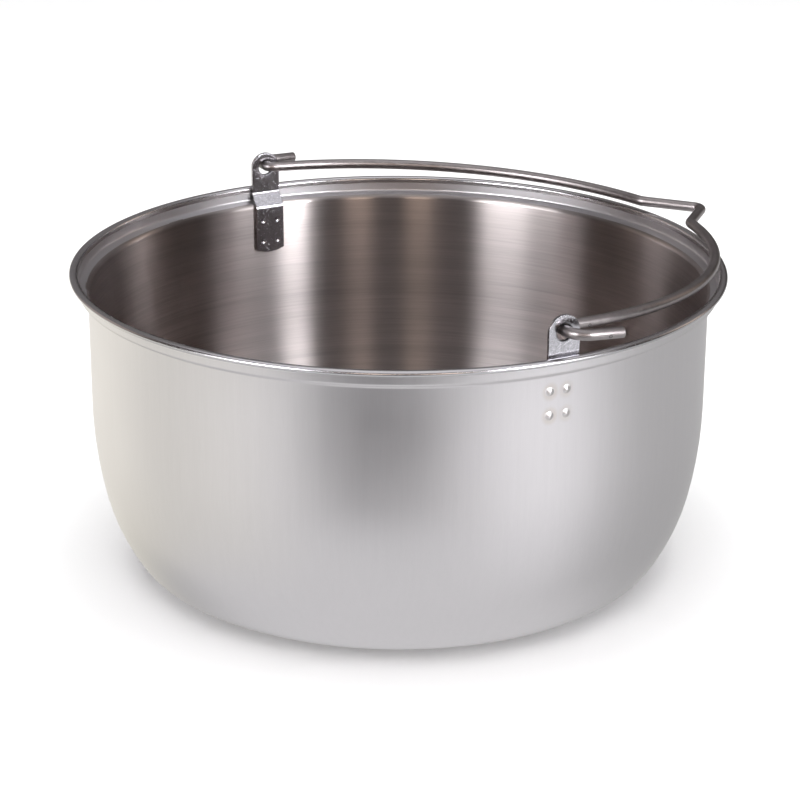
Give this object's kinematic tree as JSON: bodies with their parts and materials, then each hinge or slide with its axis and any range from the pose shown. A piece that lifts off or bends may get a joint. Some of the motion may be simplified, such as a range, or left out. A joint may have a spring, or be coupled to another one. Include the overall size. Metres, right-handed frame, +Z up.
{
  "type": "cooking pot with bail",
  "caption": "Round-bottomed stainless cooking pot with a lid seat and rolled lip, carried by a folding wire bail with a hanging notch that swings in spot-welded ears.",
  "frame": {"origin": "centre of the underside of the flat base", "axes": "+Z up, the ears and the bail's pivot line along Y, +X towards the side the bail is folded to"},
  "size_m": [0.316, 0.3146, 0.1576],
  "materials": {
    "satin_steel": "satin, drawn sheet",
    "stamped_steel": "smooth stamped strip",
    "welded_steel": "heat tinted",
    "wire_steel": "bright drawn wire"
  },
  "bodies": {
    "pot": {"pot_body": "satin_steel", "bail_ear_front": "stamped_steel", "bail_ear_rear": "stamped_steel", "spot_weld_front_1": "welded_steel", "spot_weld_front_2": "welded_steel", "spot_weld_front_3": "welded_steel", "spot_weld_front_4": "welded_steel", "spot_weld_rear_1": "welded_steel", "spot_weld_rear_2": "welded_steel", "spot_weld_rear_3": "welded_steel", "spot_weld_rear_4": "welded_steel"},
    "bail": {"bail": "wire_steel"}
  },
  "joints": [
    {"name": "bail_swing", "type": "hinge", "parent": "pot", "child": "bail", "pos_m": [0, 0, 0.1512], "axis": [0, -1, 0], "range_deg": [0, 184.9]}
  ]
}
